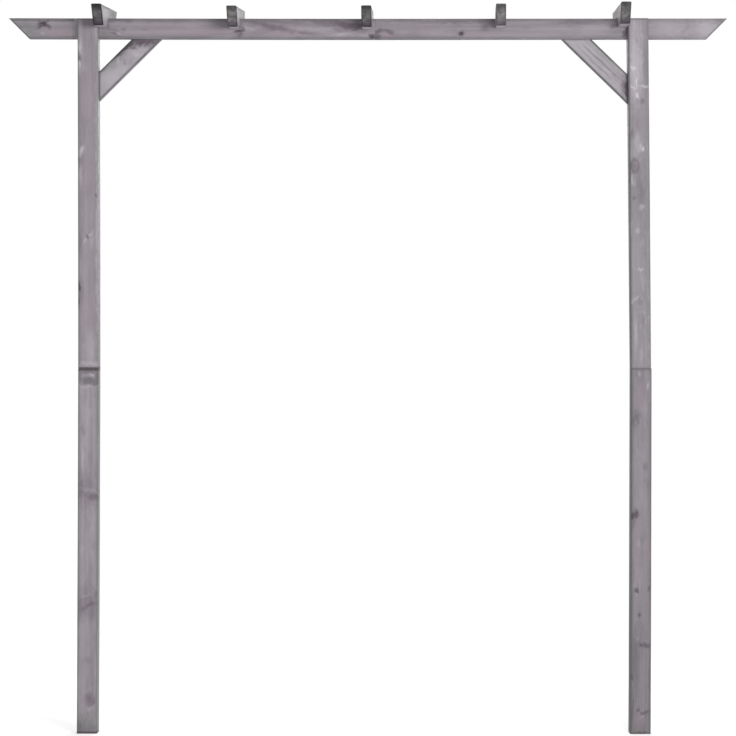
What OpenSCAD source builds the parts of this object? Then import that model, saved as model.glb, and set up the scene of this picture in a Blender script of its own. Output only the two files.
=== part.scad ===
// Flat-topped timber garden arch: two split posts, a spliced beam let into their backs,
// five notched rafters across it and two corner braces.
// Millimetres, +Z up, +X to the right seen from the front, +Y to the back. The origin is on the
// ground, under the middle of the beam's length and thickness.

/* [Overall] */
// Length of the beam over its two pointed ends
beam_l = 2000; // [1800:10:2400]
// Height of the beam's top edge and of the post tops above the ground
beam_top_h = 1995; // [1800:5:2400]
// Distance between the centre lines of the two posts
post_spacing = 1540; // [1400:10:1640]
// How far the pair of posts stands to the left of the beam's middle
post_offset = 13; // [-20:1:20]
// Height of the joint between a lower and an upper post
post_joint_h = 1020; // [700:10:1300]
// Length of a rafter along its top edge
rafter_l = 400; // [300:10:600]
// Distance between the three inner rafters
rafter_pitch = 369; // [300:1:400]
// Length of a brace's long edge, measured along the post and along the beam
brace_leg = 176; // [140:1:240]

/* [Timber] */
// Side of the square post timber
post_w = 57; // [50:1:80]
// Thickness of the beam, front to back
beam_t = 28; // [24:1:36]
// Height of the beam
beam_h = 57; // [50:1:80]
// Thickness of a rafter, side to side
rafter_t = 28; // [24:1:36]
// Height of a rafter
rafter_h = 57; // [48:1:70]
// Thickness of a brace, front to back
brace_t = 28; // [24:1:36]
// Width of a brace across its slope
brace_w = 57; // [50:1:70]
// Radius of the planed long edges
arris_r = 3; // [1:0.5:5]

/* [Cuts and joints] */
// Angle of the beam's end cuts, from the vertical
beam_mitre_a = 45; // [30:1:55]
// Angle of the rafters' end cuts, from the vertical
rafter_mitre_a = 45; // [30:1:55]
// Depth of the notch that lets a rafter down over the beam
rafter_notch_d = 28.5; // [20:0.5:34]
// Play of that notch on the beam's thickness
rafter_notch_play = 0.3; // [0.1:0.1:1]
// Gap between an outer rafter and the post beside it
rafter_post_gap = 0.3; // [0.1:0.1:2]
// Length of the half-lap splice in the middle of the beam
splice_l = 40; // [30:1:80]
// Gap left at each shoulder of the splice
splice_gap = 0.3; // [0.1:0.1:1]

/* [Dowels] */
// Diameter of the dowels that join the post halves
dowel_d = 12; // [8:1:14]
// Length of a dowel
dowel_l = 100; // [60:5:140]
// Chamfer on a dowel's ends
dowel_chamfer = 1; // [0.5:0.5:2]
// Distance between a post's two dowels
dowel_spacing = 26; // [20:1:30]
// Play of a dowel in its bore, on the diameter
dowel_play = 0.1; // [0.05:0.05:0.4]
// Spare depth of a bore past the dowel's end
dowel_spare = 1; // [0.5:0.5:4]

/* [Screws] */
// Diameter of the beam, brace and rafter screws
screw_d = 5; // [4:0.5:6]
// Diameter of their countersunk heads
head_d = 10; // [8:0.5:11]
// Length of a screw through the beam into a post
beam_screw_l = 50; // [40:5:55]
// Distance of these screws from the post's centre line, and from the beam's, in opposite corners
beam_screw_offset = 12; // [8:1:14]
// Length of a screw through a brace
brace_screw_l = 60; // [45:5:70]
// Timber left under a brace screw's head, at the bottom of its pocket
brace_seat = 25; // [18:1:30]
// Length of a screw down through a rafter into the beam
rafter_screw_l = 60; // [50:5:65]
// Sideways distance of the middle rafter's two screws from its centre
rafter_screw_stagger = 6; // [5:0.5:8]
// Diameter of the splice screws
splice_screw_d = 4; // [3:0.5:4.5]
// Diameter of their countersunk heads
splice_head_d = 8; // [6:0.5:9]
// Length of a splice screw
splice_screw_l = 25; // [18:1:26]
// Sideways distance of the splice screws from the middle of the beam
splice_screw_offset = 10; // [7:1:12]
// Height of the splice screws above the beam's lower edge
splice_screw_h = 14; // [9:1:16]
// How far a screw head is sunk below the surface
head_sink = 0.4; // [0.1:0.1:1]
// Straight rim of a screw head
head_rim = 0.5; // [0.2:0.1:1]
// Width of a slot of the cross recess
recess_w = 1.2; // [0.8:0.1:1.6]
// Depth of the cross recess
recess_d = 1.6; // [1:0.1:2]
// Play of a screw in its hole, on the diameter
screw_play = 0.1; // [0.05:0.05:0.4]
// Spare depth of a screw hole past the tip
screw_spare = 0.5; // [0.2:0.1:2]

/* [Hidden] */
$fn = 48;
stain = "#958d95";
stain_light = "#a69fa6";
beech = "#c9ac82";
zinc = "#a9adb0";
// A cutter runs this far past the surface that it opens
over = 1;

beam_bottom_h = beam_top_h - beam_h;
// The beam is let into the backs of the posts, and its back is flush with theirs
post_back_y = beam_t / 2;
post_y = post_back_y - post_w / 2;
post_x = post_spacing / 2;
post_inner_x = post_x - post_w / 2;
rafter_bottom_h = beam_top_h - rafter_notch_d;
rafter_top_h = rafter_bottom_h + rafter_h;
// An outer rafter lies against a post; this is its distance from the posts' middle
outer_rafter_x = post_inner_x - rafter_post_gap - rafter_t / 2;
// The two laps of the splice are each half the beam's thickness
lap_y = beam_t / 4;
// Middle of a brace's mitred end, measured along the post or the beam from the corner
brace_seat_mid = brace_leg - brace_w / sqrt(2);
// Rafters are numbered from the left, and the middle one stands over the splice
rafter_count = 5;
middle_rafter = 3;

function rafter_x(i) = i == 1 ? -post_offset - outer_rafter_x
    : i == rafter_count ? -post_offset + outer_rafter_x
    : rafter_pitch * (i - middle_rafter);

// Places of a rafter's screws: one in the middle, or one in each lap over the splice
function rafter_screw_places(i) = i == middle_rafter
    ? [[-rafter_screw_stagger, -lap_y], [rafter_screw_stagger, lap_y]]
    : [[rafter_x(i), 0]];

// Timber

// Outline of a planed timber across its length
module section(w, d) {
    square([w - 2 * arris_r, d], center = true);
    square([w, d - 2 * arris_r], center = true);
    for (x = [-1, 1], y = [-1, 1])
        translate([x * (w / 2 - arris_r), y * (d / 2 - arris_r)])
            circle(arris_r);
}

// Timber along Z, from the origin up
module timber(w, d, l) {
    linear_extrude(l) section(w, d);
}

// Puts a shape that is drawn along Z, or a side view drawn in X and Y, along the X axis
module lay_along_x() {
    rotate([90, 0, 90]) children();
}

// Fasteners, head up at the origin and running down

module screw_profile(d, head, l, grow, spare, above) {
    r = (d + grow) / 2;
    rh = (head + grow) / 2;
    neck = head_rim + (head - d) / 2;
    polygon([
        [0, above], [rh, above], [rh, -head_rim], [r, -neck],
        [r, spare > 0 ? -l - spare : -l + d], [0, -l - spare]
    ]);
}

module screw(d, head, l) {
    difference() {
        rotate_extrude() screw_profile(d, head, l, 0, 0, 0);
        for (a = [0, 90])
            rotate(a)
                translate([-head / 4, -recess_w / 2, -recess_d])
                    cube([head / 2, recess_w, recess_d + over]);
    }
}

// The hole that a screw goes into, open for some way above its head
module screw_hole(d, head, l, above) {
    rotate_extrude() screw_profile(d, head, l, screw_play, screw_spare, above);
}

module dowel() {
    r = dowel_d / 2;
    half = dowel_l / 2;
    rotate_extrude()
        polygon([
            [0, -half], [r - dowel_chamfer, -half], [r, -half + dowel_chamfer],
            [r, half - dowel_chamfer], [r - dowel_chamfer, half], [0, half]
        ]);
}

// Places of the fasteners

// Everything at the left post is drawn about the posts' middle, and side 1 mirrors it to the right
module on_side(side) {
    translate([-post_offset, 0, 0]) mirror([side > 0 ? 1 : 0, 0, 0]) children();
}

module at_dowels() {
    for (s = [-1, 1])
        translate([-post_x + s * dowel_spacing / 2, post_y, post_joint_h]) children();
}

module at_beam_screws() {
    for (s = [-1, 1])
        translate([
            -post_x + s * beam_screw_offset,
            post_back_y - head_sink,
            beam_bottom_h + beam_h / 2 + s * beam_screw_offset
        ])
            rotate([-90, 0, 0]) children();
}

// One screw goes sideways into the post and one up into the beam, both from the sloping underside
module at_brace_screws() {
    translate([-post_inner_x + brace_seat, 0, beam_bottom_h - brace_seat_mid])
        rotate([0, 90, 0]) children();
    translate([-post_inner_x + brace_seat_mid, 0, beam_bottom_h - brace_seat])
        rotate([180, 0, 0]) children();
}

module at_rafter_screws(i) {
    for (p = rafter_screw_places(i))
        translate([p.x, p.y, rafter_top_h - head_sink]) children();
}

module at_splice_screws() {
    for (s = [-1, 1])
        translate([
            s * splice_screw_offset,
            post_back_y - head_sink,
            beam_bottom_h + splice_screw_h
        ])
            rotate([-90, 0, 0]) children();
}

// Holes

module dowel_bores() {
    at_dowels()
        cylinder(d = dowel_d + dowel_play, h = dowel_l + 2 * dowel_spare, center = true);
}

module beam_screw_holes() {
    at_beam_screws() screw_hole(screw_d, head_d, beam_screw_l, head_sink + over);
}

module brace_screw_holes() {
    at_brace_screws() screw_hole(screw_d, head_d, brace_screw_l, brace_leg);
}

module rafter_screw_holes(i) {
    at_rafter_screws(i) screw_hole(screw_d, head_d, rafter_screw_l, head_sink + over);
}

module splice_screw_holes() {
    at_splice_screws()
        screw_hole(splice_screw_d, splice_head_d, splice_screw_l, head_sink + over);
}

// Posts

module lower_post(side) {
    color(stain)
        on_side(side)
            difference() {
                translate([-post_x, post_y, 0]) timber(post_w, post_w, post_joint_h);
                dowel_bores();
            }
}

module upper_post(side) {
    color(stain)
        on_side(side)
            difference() {
                translate([-post_x, post_y, post_joint_h])
                    timber(post_w, post_w, beam_top_h - post_joint_h);
                translate([-post_x - post_w, post_back_y - beam_t, beam_bottom_h])
                    cube([2 * post_w, beam_t + over, beam_h + over]);
                dowel_bores();
                beam_screw_holes();
                brace_screw_holes();
            }
}

// Beam

// Left half of the beam, with its lap in front; the right half is the same one turned about
module beam_half_blank() {
    reach = splice_l / 2 - splice_gap / 2;
    difference() {
        intersection() {
            translate([-beam_l / 2, 0, beam_bottom_h + beam_h / 2])
                lay_along_x() timber(beam_t, beam_h, beam_l / 2 + reach);
            rotate([90, 0, 0])
                linear_extrude(beam_t + 2 * over, center = true)
                    polygon([
                        [-beam_l / 2, beam_top_h], [reach, beam_top_h], [reach, beam_bottom_h],
                        [-beam_l / 2 + beam_h * tan(beam_mitre_a), beam_bottom_h]
                    ]);
        }
        translate([-splice_l / 2 - splice_gap / 2, 0, beam_bottom_h - over])
            cube([splice_l + 2 * over, beam_t, beam_h + 2 * over]);
    }
}

module beam_half(side) {
    color(stain)
        difference() {
            rotate(side > 0 ? 180 : 0) beam_half_blank();
            on_side(side) {
                beam_screw_holes();
                brace_screw_holes();
            }
            for (i = side > 0 ? [middle_rafter : rafter_count] : [1 : middle_rafter])
                rafter_screw_holes(i);
            splice_screw_holes();
        }
}

// Rafters

module rafter_side_view() {
    half_top = rafter_l / 2;
    half_bottom = half_top - rafter_h * tan(rafter_mitre_a);
    half_notch = (beam_t + rafter_notch_play) / 2;
    polygon([
        [-half_top, rafter_top_h], [half_top, rafter_top_h],
        [half_bottom, rafter_bottom_h], [half_notch, rafter_bottom_h],
        [half_notch, beam_top_h], [-half_notch, beam_top_h],
        [-half_notch, rafter_bottom_h], [-half_bottom, rafter_bottom_h]
    ]);
}

module rafter(i) {
    color(stain)
        difference() {
            translate([rafter_x(i), 0, 0])
                intersection() {
                    translate([0, -rafter_l / 2, (rafter_bottom_h + rafter_top_h) / 2])
                        rotate([90, 0, 180]) timber(rafter_t, rafter_h, rafter_l);
                    lay_along_x()
                        linear_extrude(rafter_t + 2 * over, center = true) rafter_side_view();
                }
            rafter_screw_holes(i);
        }
}

// Braces

module brace(side) {
    blank_l = 2 * brace_leg;
    color(stain_light)
        on_side(side)
            difference() {
                intersection() {
                    translate([
                        -post_inner_x + brace_seat_mid / 2, 0, beam_bottom_h - brace_seat_mid / 2
                    ])
                        rotate([0, 45, 0])
                            translate([0, 0, -blank_l / 2]) timber(brace_w, brace_t, blank_l);
                    translate([-post_inner_x, -brace_t, beam_bottom_h - blank_l])
                        cube([blank_l, 2 * brace_t, blank_l]);
                }
                brace_screw_holes();
            }
}

// Dowels and screws

module post_dowels(side) {
    color(beech) on_side(side) at_dowels() dowel();
}

module beam_screws(side) {
    color(zinc) on_side(side) at_beam_screws() screw(screw_d, head_d, beam_screw_l);
}

module brace_screws(side) {
    color(zinc) on_side(side) at_brace_screws() screw(screw_d, head_d, brace_screw_l);
}

module rafter_screws() {
    color(zinc)
        for (i = [1 : rafter_count]) at_rafter_screws(i) screw(screw_d, head_d, rafter_screw_l);
}

module splice_screws() {
    color(zinc) at_splice_screws() screw(splice_screw_d, splice_head_d, splice_screw_l);
}

lower_post(-1);  // left_lower_post
lower_post(1);  // right_lower_post
upper_post(-1);  // left_upper_post
upper_post(1);  // right_upper_post
beam_half(-1);  // beam_left
beam_half(1);  // beam_right
rafter(1);  // rafter_1
rafter(2);  // rafter_2
rafter(3);  // rafter_3
rafter(4);  // rafter_4
rafter(5);  // rafter_5
brace(-1);  // left_brace
brace(1);  // right_brace
post_dowels(-1);  // left_post_dowels
post_dowels(1);  // right_post_dowels
beam_screws(-1);  // left_beam_screws
beam_screws(1);  // right_beam_screws
brace_screws(-1);  // left_brace_screws
brace_screws(1);  // right_brace_screws
rafter_screws();
splice_screws();
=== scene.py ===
# Flat-topped garden arch in mauve-grey stained pine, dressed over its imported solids
import math
from collections import namedtuple
from types import SimpleNamespace

import bpy
import numpy as np
from mathutils import Matrix, Vector, noise


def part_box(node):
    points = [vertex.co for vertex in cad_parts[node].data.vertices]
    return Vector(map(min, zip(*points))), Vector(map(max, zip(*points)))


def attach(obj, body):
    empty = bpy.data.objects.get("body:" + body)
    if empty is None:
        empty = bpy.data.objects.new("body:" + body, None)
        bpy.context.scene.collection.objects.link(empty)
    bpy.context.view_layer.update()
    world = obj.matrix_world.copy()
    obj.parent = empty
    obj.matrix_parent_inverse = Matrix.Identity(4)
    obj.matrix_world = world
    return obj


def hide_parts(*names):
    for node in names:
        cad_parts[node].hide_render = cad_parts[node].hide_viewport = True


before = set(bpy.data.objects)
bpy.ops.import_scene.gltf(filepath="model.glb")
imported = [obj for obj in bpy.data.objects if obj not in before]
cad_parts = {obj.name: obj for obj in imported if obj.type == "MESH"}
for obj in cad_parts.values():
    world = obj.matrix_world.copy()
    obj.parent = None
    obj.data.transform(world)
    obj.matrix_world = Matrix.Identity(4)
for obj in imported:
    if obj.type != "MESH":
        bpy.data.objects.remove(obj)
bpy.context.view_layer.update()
mm = 0.001
print("frame: %d solids" % len(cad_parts))


# Camera, square on and a little right of the middle
camera = dict(
    place=(0.2251, -10.0595, 1.3685),
    turn=-0.343,  # degrees to the right
    tilt=-0.818,  # degrees up
    sensor=36,
    lens=175.93,
    shift=(-0.0804, -0.0995),
)
eye = bpy.data.objects.new("camera", bpy.data.cameras.new("camera"))
bpy.context.scene.collection.objects.link(eye)
eye.location = camera["place"]
eye.rotation_euler = (math.radians(90 + camera["tilt"]), 0, math.radians(-camera["turn"]))
eye.data.sensor_width = camera["sensor"]
eye.data.lens = camera["lens"]
eye.data.shift_x, eye.data.shift_y = camera["shift"]
bpy.context.scene.camera = eye


# Materials: sums on a socket add the nodes that work them out
def arithmetic(operation):  # an operator on sockets, and its reflected form
    return (
        lambda self, other: self.maths(operation, self, other),
        lambda self, other: self.maths(operation, other, self),
    )


class Wire:
    __add__, __radd__ = arithmetic("ADD")
    __sub__, __rsub__ = arithmetic("SUBTRACT")
    __mul__, __rmul__ = arithmetic("MULTIPLY")
    __truediv__, __rtruediv__ = arithmetic("DIVIDE")

    def __init__(self, tree, socket):
        self.tree = tree
        self.socket = socket

    def node(self, kind, settings, inputs, output=0):
        made = self.tree.nodes.new(kind)
        for name, value in settings.items():
            if name == "stops":
                setStops(made.color_ramp, value)
            else:
                setattr(made, name, value)
        for name, value in inputs.items():
            if isinstance(value, Wire):
                self.tree.links.new(value.socket, made.inputs[name])
            else:
                made.inputs[name].default_value = value
        return Wire(self.tree, made.outputs[output])

    def maths(self, operation, *values):
        return self.node("ShaderNodeMath", {"operation": operation}, dict(enumerate(values)))

    def vector(self, operation, *values, output=0):
        return self.node("ShaderNodeVectorMath", {"operation": operation}, dict(enumerate(values)), output)

    def mix(self, share, first, second):  # colours
        return self.node("ShaderNodeMix", {"data_type": "RGBA"}, {0: share, 6: first, 7: second}, 2)

    def ease(self, low, high, atLow=0.0, atHigh=1.0):  # a smooth step between two values
        steps = {"Value": self, "From Min": low, "From Max": high, "To Min": atLow, "To Max": atHigh}
        return self.node("ShaderNodeMapRange", {"interpolation_type": "SMOOTHSTEP"}, steps)

    def cloud(self, stretch, detail=2.0, rough=0.5, output=0):  # noise on a stretched place
        place = self.vector("MULTIPLY", self, stretch)
        settings = {"Vector": place, "Scale": 1.0, "Detail": detail, "Roughness": rough}
        return self.node("ShaderNodeTexNoise", {}, settings, output)


def setStops(ramp, stops):
    while len(ramp.elements) < len(stops):
        ramp.elements.new(0.5)
    for element, (place, value) in zip(ramp.elements, stops):
        element.position = place
        element.color = (value, value, value, 1)


def tint(*screen):  # a colour as it is read off a screen, 0 to 255
    parts = [value / 255 for value in screen]
    return tuple(p / 12.92 if p <= 0.04045 else ((p + 0.055) / 1.055) ** 2.4 for p in parts) + (1,)


def newFinish(name, **fixed):
    finish = bpy.data.materials.new(name)
    finish.use_nodes = True
    tree = finish.node_tree
    shader = tree.nodes["Principled BSDF"]
    for socket, value in fixed.items():
        shader.inputs[socket.replace("_", " ")].default_value = value
    return finish, Wire(tree, None), shader


def plug(wire, shader, socket):
    wire.tree.links.new(wire.socket, shader.inputs[socket])


def bumped(wire, shader, height, strength, distance):
    settings = {"Strength": strength, "Distance": distance * mm, "Height": height}
    plug(wire.node("ShaderNodeBump", {}, settings), shader, "Normal")


def strongest(wire, masks):
    best = None
    for mask in masks:
        best = mask if best is None else wire.maths("MAXIMUM", best, mask)
    return best


# Stained pine
pine = dict(
    mid=tint(152, 145, 152),
    light=tint(173, 167, 174),
    deep=tint(126, 119, 126),
    late=tint(112, 104, 111),
    pink=tint(160, 143, 151),
    grey=tint(128, 129, 129),
    dark=tint(98, 86, 97),
    pale=tint(198, 192, 199),
    knot=tint(84, 72, 80),
    knotRim=tint(56, 46, 54),
    soaked=tint(76, 70, 74),
    white=tint(206, 201, 207),
    arris=tint(100, 100, 101),
    endLight=tint(122, 120, 121),
    endDeep=tint(86, 84, 85),
    endTop=tint(50, 49, 49),
    endLow=tint(84, 72, 86),
    gloss=0.3,
    roughness=0.62,
    ringWidth=3.4,
    ringStops=[(0, 0), (0.4, 0.08), (0.82, 0.75), (0.92, 1), (1, 0.05)],
    knotRings=21,
    sawMarks=3400,
    spotDepth=22,
    curveDepth=30,
    weatherRim=(13, 3),  # how far in each of these starts and is full
    sideRim=(5.5, 1.6),
    endRim=(7.5, 2.5),
    softMarks=(("grey", 1), ("dark", 1), ("pale", 0.78)),
    crispMarks=(("ink", "soaked"), ("white", "white")),
)
clouds = dict(  # cells per metre along, across and deep, then detail and roughness
    fibre=((14, 900, 900), 3, 0.6),
    streak=((2.2, 80, 80), 3, 0.55),
    broad=((1.3, 26, 26), 2),
    blotch=((12, 30, 30), 4, 0.62),
    ragged=((60, 150, 150), 3, 0.6),
    drift=((26, 60, 60), 2),
    wander=((2.1, 5, 5), 1),
    blush=((3.5, 24, 24), 2),
    fleckDrifts=((6, 26, 26), 2),
    flecks=((30, 150, 150), 3, 0.62),
    weather=((9, 40, 40), 3, 0.6),
    pores=((240, 240, 240), 3, 0.6),
    endPatches=((50, 60, 60), 3, 0.6),
)
Mark = namedtuple("Mark", "depth along across reachAlong reachAcross strength turn")


def marksOf(piece, kind):  # percents become shares, and a turn that isn't listed is 0
    marks = [mark + (0,) * (6 - len(mark)) for mark in piece.get(kind, ())]
    return [Mark(piece["face"], *mark[:4], mark[4] / 100, mark[5]) for mark in marks]


def turnedAway(wire, place, mark):
    away = wire.vector("SUBTRACT", place, (mark.along * mm, mark.across * mm, mark.depth * mm))
    if mark.turn:
        turned = {"Vector": away, "Angle": math.radians(-mark.turn)}
        away = wire.node("ShaderNodeVectorRotate", {"rotation_type": "Z_AXIS"}, turned)
    return away


def spot(wire, place, ragged, mark, depth=pine["spotDepth"]):  # distance from a mark's middle, 1 at its rim
    away = turnedAway(wire, place, mark)
    reaches = (mark.reachAlong, mark.reachAcross, depth)
    away = wire.vector("MULTIPLY", away, tuple(1 / reach / mm for reach in reaches))
    return wire.vector("LENGTH", away, output=1) + ragged


def spotsOf(wire, piece, grain, kind, inner=0.15, outer=1.25):  # one mask for all marks of a kind
    near = [(mark, spot(wire, grain.smudged, grain.ragged, mark)) for mark in marksOf(piece, kind)]
    return strongest(wire, [gap.ease(inner, outer, mark.strength, 0.0) for mark, gap in near])


def curvesOf(wire, piece, grain):  # swirls are closed curves of grain, arches are open below
    bands = []
    for kind in ("arch", "swirl"):
        for mark in marksOf(piece, kind):
            gap = spot(wire, grain.place, grain.ragged * 0.35, mark, pine["curveDepth"])
            band = gap.ease(0.45, 0.85, 0.0, mark.strength) * gap.ease(0.9, 1.3, 1.0, 0.0)
            if kind == "arch":
                rise = wire.node("ShaderNodeSeparateXYZ", {}, {0: turnedAway(wire, grain.place, mark)}, "Y")
                band = band * rise.ease(-2 * mm, 4 * mm)
            bands.append(band)
    return strongest(wire, bands)


def edgeMask(wire, measure, width, rim, strength=1.0):  # nothing inside, full at both edges of a width
    return wire.maths("ABSOLUTE", measure).ease(
        (width / 2 - rim[0]) * mm, (width / 2 - rim[1]) * mm, 0.0, strength
    )


def grainOf(wire, piece):  # a timber's own measures, and what several steps share
    place = wire.node("ShaderNodeAttribute", {"attribute_name": "grain"}, {}, "Vector")
    parts = wire.tree.nodes.new("ShaderNodeSeparateXYZ")
    plug(place, parts, 0)
    along, across, depth = (Wire(wire.tree, part) for part in parts.outputs)
    own = wire.vector("ADD", place, tuple(piece["seed"] * step for step in (1.37, 0.61, 0.29)))
    ragged = (own.cloud(*clouds["ragged"]) - 0.5) * 1.3
    drift = own.cloud(*clouds["drift"], output=1)
    drift = wire.vector("MULTIPLY_ADD", drift, (0.026, 0.012, 0), (-0.013, -0.006, 0))
    first, last = piece["ends"]
    leanFirst, leanLast = piece["cuts"]
    return SimpleNamespace(
        place=place, along=along, across=across, own=own, ragged=ragged,
        smudged=wire.vector("ADD", place, drift),
        fibre=own.cloud(*clouds["fibre"]),
        blotch=own.cloud(*clouds["blotch"]),
        knotGaps=[(mark, spot(wire, place, ragged * 0.3, mark)) for mark in marksOf(piece, "knot")],
        nearSide=edgeMask(wire, depth, piece["section"][1], pine["sideRim"]),
        toEnds=(along - across * leanFirst - first * mm, across * leanLast + last * mm - along),
    )


def lateWood(wire, piece, grain):  # rings round the pith, which wanders, and round each knot
    wander = grain.own.cloud(*clouds["wander"], output=1)
    wander = wire.vector("MULTIPLY_ADD", wander, (0, 0.03, 0.03), (0, -0.015, -0.015))
    pith = (0, piece["pith"][0] * mm, piece["pith"][1] * mm)
    fromPith = wire.vector("SUBTRACT", wire.vector("MULTIPLY", grain.place, (0, 1, 1)), pith)
    rings = wire.vector("LENGTH", wire.vector("ADD", fromPith, wander), output=1)
    for mark, gap in grain.knotGaps:
        rings = rings + gap.ease(0.6, 3.6, mark.reachAcross * 1.6 * mm, 0.0)
    ring = wire.maths("FRACT", rings / (pine["ringWidth"] * mm) + grain.blotch * 0.6)
    late = wire.node("ShaderNodeValToRGB", {"stops": pine["ringStops"]}, {"Fac": ring})
    return late * grain.own.cloud(*clouds["broad"]).ease(0.3, 0.7, 0.3, 1.0)


def planedFace(wire, piece, grain, late):
    own = grain.own
    tone = wire.mix(own.cloud(*clouds["streak"]).ease(0.3, 0.7), pine["deep"], pine["light"])
    tone = wire.mix(0.7, tone, pine["mid"])
    tone = wire.mix(grain.blotch.ease(0.5, 0.7, 0.0, 0.42), tone, pine["deep"])
    tone = wire.mix(grain.blotch.ease(0.28, 0.46, 0.4, 0.0), tone, pine["light"])
    tone = wire.mix(late * 0.13, tone, pine["late"])
    tone = wire.mix(grain.fibre.ease(0.5, 0.8, 0.0, 0.22), tone, pine["late"])
    blush = own.cloud(*clouds["blush"]).ease(0.55, 0.75, 0.0, 0.4)
    pinkMarks = spotsOf(wire, piece, grain, "pink")
    if pinkMarks:
        blush = wire.maths("MAXIMUM", blush, pinkMarks)
    tone = wire.mix(blush, tone, pine["pink"])
    if "flecks" in piece:  # small light flecks, in drifts
        drifts = own.cloud(*clouds["fleckDrifts"]).ease(0.45, 0.62)
        flecks = own.cloud(*clouds["flecks"]).ease(0.52, 0.68, 0.0, piece["flecks"])
        tone = wire.mix(flecks * drifts, tone, pine["pale"])
    if "paler" in piece:
        tone = wire.mix(piece["paler"], tone, pine["pale"])
    if "weather" in piece:  # the posts' edges went greyer, in patches
        greyed = edgeMask(wire, grain.across, piece["section"][0], pine["weatherRim"], piece["weather"])
        patches = own.cloud(*clouds["weather"]).ease(0.34, 0.56)
        tone = wire.mix(greyed * patches, tone, pine["grey"])
    # the dark marks hold stains and grain, and some painted shadows, listed in the timbers' tables
    for kind, share in pine["softMarks"]:
        mask = spotsOf(wire, piece, grain, kind)
        if mask:
            tone = wire.mix(mask * share, tone, pine[kind])
    curves = curvesOf(wire, piece, grain)
    return wire.mix(curves, tone, pine["dark"]) if curves else tone


def withKnots(wire, grain, tone):
    bodies = []
    for mark, gap in grain.knotGaps:
        halo = spot(wire, grain.smudged, grain.ragged, mark).ease(0.7, 2.1, 0.5 * mark.strength, 0.0)
        tone = wire.mix(halo, tone, pine["dark"])
        turns = wire.maths("SINE", gap * pine["knotRings"]).ease(-1, 1, 0.0, 0.55)
        inside = wire.mix(turns, pine["knot"], pine["knotRim"])
        inside = wire.mix(gap.ease(0.6, 0.95), inside, pine["knotRim"])
        bodies.append(gap.ease(0.8, 1.1, mark.strength, 0.0))
        tone = wire.mix(bodies[-1], tone, inside)
    return tone, strongest(wire, bodies)


def withEdges(wire, piece, grain, tone):  # the planed edges darker, partly stain and partly painted shade on their rounded faces; the cut ends took more stain
    across, along = grain.across, grain.along
    width = piece["section"][0]
    if "under" in piece:  # painted light: a pale lower face, as if lit from below
        low = across.ease((0.3 - width / 2) * mm, (1 - width / 2) * mm, piece["under"], 0.0)
        tone = wire.mix(low, tone, pine["pale"])
    arris = edgeMask(wire, across, width, piece["rim"]) * grain.nearSide
    arris = arris * grain.blotch.ease(0.3, 0.6, 0.7, 1.0) * piece["edges"]
    if "lowerEdges" in piece:  # the share of the edges' stain and painted shade left below, so the painted light of the lower face stays pale
        arris = arris * across.ease(-width / 2 * mm, 0, piece["lowerEdges"], 1.0)
    if "edgesLast" in piece:  # and at the last end
        arris = arris * along.ease(piece["ends"][0] * mm, piece["ends"][1] * mm, 1.0, piece["edgesLast"])
    if "shadyEdge" in piece:  # painted shade: the edge on the side turned from the key lamp darker
        side = across.ease((7 - width / 2) * mm, (1.5 - width / 2) * mm, 0.0, piece["shadyEdge"])
        arris = wire.maths("MAXIMUM", arris, side)
    for toEnd, soak in zip(grain.toEnds, piece["soak"]):
        soaked = (toEnd + grain.ragged * 1.5 * mm).ease(2 * mm, 8 * mm, soak, 0.0)
        arris = wire.maths("MAXIMUM", arris, soaked)
    # the edges' darkening: part stain, part painted shade
    tone = wire.mix(arris, tone, pine["arris"])
    for toEnd, seam in zip(grain.toEnds, piece.get("seams", ())):  # straight dark lines of soaked end grain
        if seam:
            strength, full, gone = seam
            line = (toEnd + grain.ragged * 0.4 * mm).ease(full * mm, gone * mm, strength, 0.0)
            tone = wire.mix(line, tone, pine["soaked"])
    # ink marks are stains, knots and joints, and one painted shadow under rafter two on the beam
    for kind, colour in pine["crispMarks"]:
        mask = spotsOf(wire, piece, grain, kind, 0.4, 1.2)
        if mask:
            tone = wire.mix(mask, tone, pine[colour])
    for middle, reach, strength in piece.get("bands", ()):  # straight pale bands across: painted light that lifts a post's cast shadow on the beam
        band = wire.maths("ABSOLUTE", along - middle * mm).ease(reach * 0.3 * mm, reach * mm, strength, 0.0)
        tone = wire.mix(band, tone, pine["white"])
    return tone


def endGrain(wire, piece, grain, late, pores):  # darker and without the mauve
    across, ragged = grain.across, grain.ragged
    patches = grain.own.cloud(*clouds["endPatches"]).ease(0.35, 0.65)
    tone = wire.mix(patches, pine["endDeep"], pine["endLight"])
    tone = wire.mix(late * 0.45, tone, pine["endDeep"])
    tone = wire.mix(pores * 0.3, tone, pine["endTop"])
    if "endTone" in piece:
        tone = wire.vector("MULTIPLY", tone, (piece["endTone"],) * 3)
    if "endShade" in piece:  # the rafters' ends are darkest at the top and round the rim
        shade = piece["endShade"]
        low = (across + ragged * 3 * mm).ease(-22 * mm, -6 * mm, shade, 0.0)
        tone = wire.mix(low, tone, pine["endLow"])
        top = (across + ragged * 4 * mm).ease(2 * mm, 25 * mm, 0.0, shade)
        rim = edgeMask(wire, across, piece["section"][0], pine["endRim"])
        rims = wire.maths("MAXIMUM", rim, grain.nearSide) * (shade * 0.8)
        tone = wire.mix(wire.maths("MAXIMUM", top, rims), tone, pine["endTop"])
    return tone


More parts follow.
